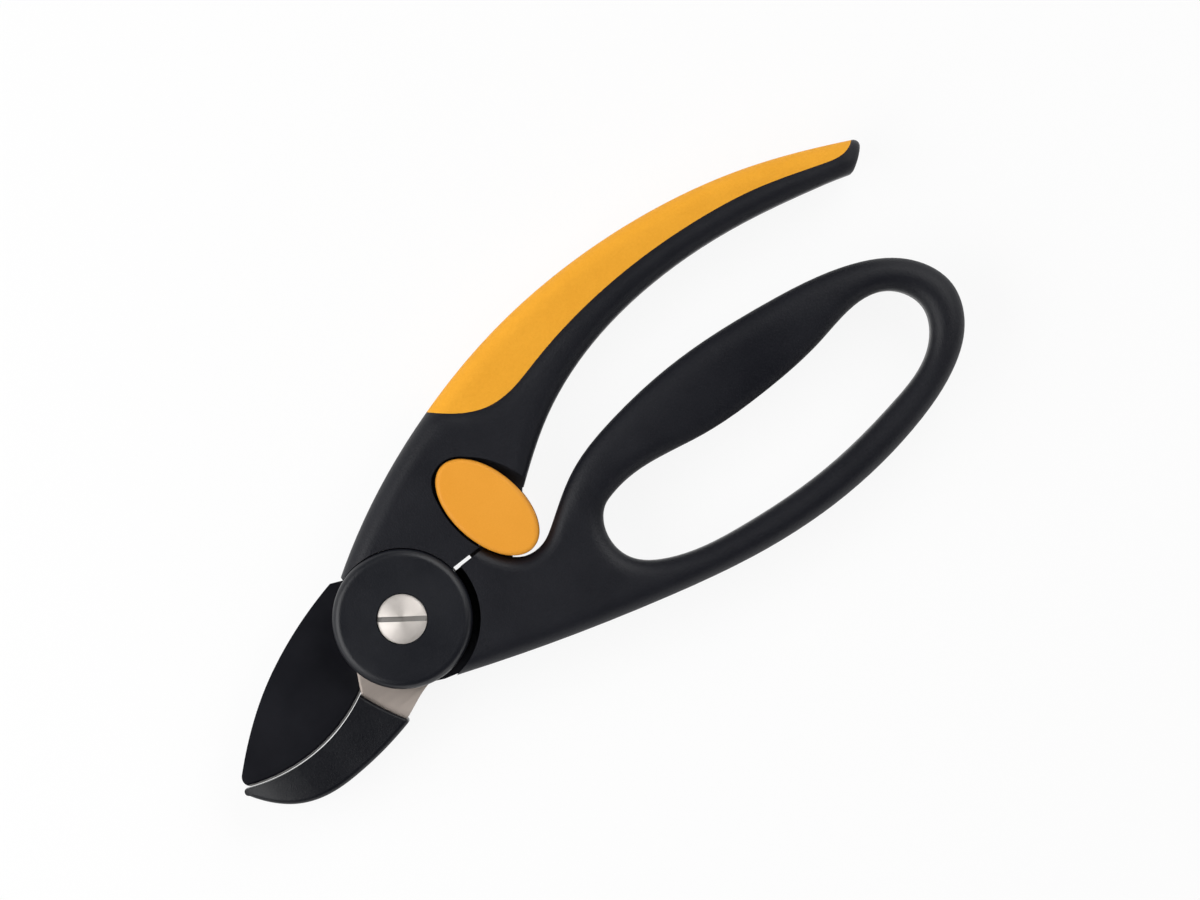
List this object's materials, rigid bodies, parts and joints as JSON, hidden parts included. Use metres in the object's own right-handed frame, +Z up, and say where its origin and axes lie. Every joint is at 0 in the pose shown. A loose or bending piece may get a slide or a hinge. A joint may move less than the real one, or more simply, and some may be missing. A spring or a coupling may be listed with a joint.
{
  "type": "pruning shears",
  "caption": "One-hand anvil pruning shears: a coated blade closes on a slim anvil, with one plain padded handle, one finger-loop handle and an oval swing lock between them.",
  "frame": {"origin": "on the pivot axis, on the flat face of the rear cap that the shears lie on", "axes": "+X from the jaws to the handles, +Y towards the plain handle, +Z up along the pivot axis"},
  "size_m": [0.203, 0.0809, 0.0213],
  "materials": {
    "handle_black": "black moulded plastic, fine grain, half matt",
    "grip_orange": "orange soft grip, fine grain, matt",
    "lock_orange": "orange moulded plastic, smooth, half matt",
    "blade_coating": "black non-stick coating, bare steel along the ground edge",
    "anvil_black": "black moulded plastic, matt",
    "cap_black": "black moulded plastic, fine grain, half matt",
    "arm_steel": "bare pressed steel, satin",
    "screw_steel": "bright steel, turned",
    "bush_bronze": "sintered bronze, matt",
    "washer_plastic": "white low-friction plastic",
    "spring_steel": "spring steel strip",
    "buffer_rubber": "black rubber, matt"
  },
  "bodies": {
    "plain_side": {"upper_handle": "handle_black", "upper_grip": "grip_orange", "anvil_arm": "arm_steel", "anvil": "anvil_black", "front_cap": "cap_black", "rear_cap": "cap_black", "pivot_screw": "screw_steel", "pivot_nut": "screw_steel", "head_washer": "screw_steel", "pivot_bush": "bush_bronze", "front_thrust_washer": "washer_plastic", "rear_thrust_washer": "washer_plastic", "return_spring": "spring_steel"},
    "loop_side": {"lower_handle": "handle_black", "blade": "blade_coating", "stop_buffer": "buffer_rubber"},
    "lock": {"lock_button_front": "lock_orange", "lock_button_rear": "lock_orange", "lock_hook": "spring_steel", "lock_pin": "screw_steel", "lock_washer": "washer_plastic"}
  },
  "joints": [
    {"name": "pivot", "type": "hinge", "parent": "plain_side", "child": "loop_side", "pos_m": [0, 0, 0.0105], "axis": [0, 0, -1], "range_deg": [0, 28]},
    {"name": "lock_swing", "type": "hinge", "parent": "plain_side", "child": "lock", "pos_m": [0.0295, 0.0145, 0.0105], "axis": [0, 0, 1], "range_deg": [0, 15]}
  ]
}
